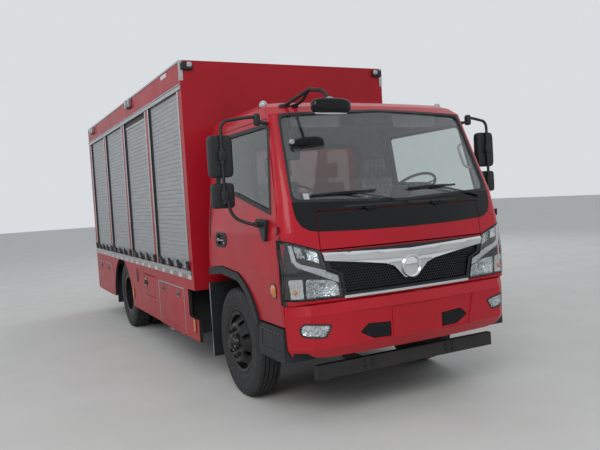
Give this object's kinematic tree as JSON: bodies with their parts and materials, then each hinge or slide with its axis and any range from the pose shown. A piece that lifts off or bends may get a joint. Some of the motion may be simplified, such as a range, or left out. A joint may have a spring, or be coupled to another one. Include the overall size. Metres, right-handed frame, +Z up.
{
  "type": "fire equipment truck",
  "caption": "Two-axle fire equipment truck with tilting cab, hinged doors, steered front wheels and a box body with roller shutters and drop-down lockers.",
  "frame": {"origin": "on the ground under the middle of the bounding box", "axes": "+Z up, the front of the truck faces -Y, +X is the truck's left side"},
  "size_m": [2.911, 7.69, 3.187],
  "materials": {
    "red_paint": "gloss red enamel",
    "body_paint": "gloss red enamel on sheet",
    "chassis_black": "satin black chassis paint",
    "plastic_black": "grained black moulding",
    "glass": "clear toughened glass",
    "chrome": "bright plated",
    "lamp_lens": "clear lamp lens",
    "rubber": "black rubber",
    "tyre": "road tyre rubber",
    "rim_paint": "black wheel enamel",
    "shutter_grey": "anodised shutter slats",
    "aluminium": "mill finish profile",
    "cast_iron": "cast and machined",
    "seat_fabric": "woven seat cover",
    "amber_lens": "amber and red lens"
  },
  "bodies": {
    "chassis": {"frame_rails": "chassis_black", "front_axle": "chassis_black", "leaf_springs": "chassis_black", "rear_axle": "chassis_black", "engine": "cast_iron", "propshaft": "chassis_black", "fuel_tank": "aluminium", "silencer": "chassis_black", "underrun_bar": "chassis_black", "mud_flaps": "rubber", "body_shell": "body_paint", "shutters_left": "shutter_grey", "shutters_right": "shutter_grey", "shutter_rear": "shutter_grey", "lashing_rails": "aluminium", "skirt_left": "body_paint", "skirt_right": "body_paint", "body_lamps": "amber_lens"},
    "cab": {"cab_shell": "red_paint", "cab_glass": "glass", "grille": "plastic_black", "grille_trim": "chrome", "cab_lamps": "lamp_lens", "bumper": "red_paint", "wheel_arches": "plastic_black", "seats": "seat_fabric", "dashboard": "plastic_black", "steering_wheel": "plastic_black", "wipers": "plastic_black", "nearside_mirror": "plastic_black"},
    "front_lid": {"front_lid": "red_paint"},
    "door_left": {"door_left": "red_paint", "door_glass_left": "glass", "mirrors_left": "plastic_black"},
    "door_right": {"door_right": "red_paint", "door_glass_right": "glass", "mirrors_right": "plastic_black"},
    "flap_front_left": {"locker_flap_front_left": "body_paint"},
    "flap_front_right": {"locker_flap_front_right": "body_paint"},
    "flap_rear_left": {"locker_flap_rear_left": "body_paint"},
    "flap_rear_right": {"locker_flap_rear_right": "body_paint"},
    "knuckle_left": {"knuckle_left": "cast_iron"},
    "knuckle_right": {"knuckle_right": "cast_iron"},
    "wheel_front_left": {"tyre_front_left": "tyre", "rim_front_left": "rim_paint"},
    "wheel_front_right": {"tyre_front_right": "tyre", "rim_front_right": "rim_paint"},
    "wheels_rear_left": {"tyres_rear_left": "tyre", "rims_rear_left": "rim_paint"},
    "wheels_rear_right": {"tyres_rear_right": "tyre", "rims_rear_right": "rim_paint"}
  },
  "joints": [
    {"name": "wheels_rear_left_spin", "type": "hinge", "parent": "chassis", "child": "wheels_rear_left", "pos_m": [0.89, 1.645, 0.491], "axis": [1, 0, 0], "continuous": true},
    {"name": "wheels_rear_right_spin", "type": "hinge", "parent": "chassis", "child": "wheels_rear_right", "pos_m": [-0.89, 1.645, 0.491], "axis": [1, 0, 0], "continuous": true},
    {"name": "steer_left", "type": "hinge", "parent": "chassis", "child": "knuckle_left", "pos_m": [0.79, -2.555, 0.491], "axis": [0, 0, 1], "range_deg": [-35, 35]},
    {"name": "steer_right", "type": "hinge", "parent": "chassis", "child": "knuckle_right", "pos_m": [-0.79, -2.555, 0.491], "axis": [0, 0, 1], "range_deg": [-35, 35]},
    {"name": "wheel_front_left_spin", "type": "hinge", "parent": "knuckle_left", "child": "wheel_front_left", "pos_m": [0.936, -2.555, 0.491], "axis": [1, 0, 0], "continuous": true},
    {"name": "wheel_front_right_spin", "type": "hinge", "parent": "knuckle_right", "child": "wheel_front_right", "pos_m": [-0.936, -2.555, 0.491], "axis": [1, 0, 0], "continuous": true},
    {"name": "cab_tilt", "type": "hinge", "parent": "chassis", "child": "cab", "pos_m": [0, -3.635, 0.78], "axis": [1, 0, 0], "range_deg": [0, 45]},
    {"name": "door_left_swing", "type": "hinge", "parent": "cab", "child": "door_left", "pos_m": [1.094, -3.639, 1.2], "axis": [0, 0, -1], "range_deg": [0, 68]},
    {"name": "door_right_swing", "type": "hinge", "parent": "cab", "child": "door_right", "pos_m": [-1.094, -3.639, 1.2], "axis": [0, 0, 1], "range_deg": [0, 68]},
    {"name": "front_lid_lift", "type": "hinge", "parent": "cab", "child": "front_lid", "pos_m": [0, -3.755, 1.652], "axis": [-1, 0, 0], "range_deg": [0, 70]},
    {"name": "flap_front_left_drop", "type": "hinge", "parent": "chassis", "child": "flap_front_left", "pos_m": [1.2003, -0.928, 0.392], "axis": [0, 1, 0], "range_deg": [0, 90]},
    {"name": "flap_front_right_drop", "type": "hinge", "parent": "chassis", "child": "flap_front_right", "pos_m": [-1.2003, -0.928, 0.392], "axis": [0, -1, 0], "range_deg": [0, 90]},
    {"name": "flap_rear_left_drop", "type": "hinge", "parent": "chassis", "child": "flap_rear_left", "pos_m": [1.2003, 3.087, 0.392], "axis": [0, 1, 0], "range_deg": [0, 90]},
    {"name": "flap_rear_right_drop", "type": "hinge", "parent": "chassis", "child": "flap_rear_right", "pos_m": [-1.2003, 3.087, 0.392], "axis": [0, -1, 0], "range_deg": [0, 90]}
  ],
  "couplings": [
    {"joint": "steer_right", "follows": "steer_left", "ratio": 1}
  ]
}
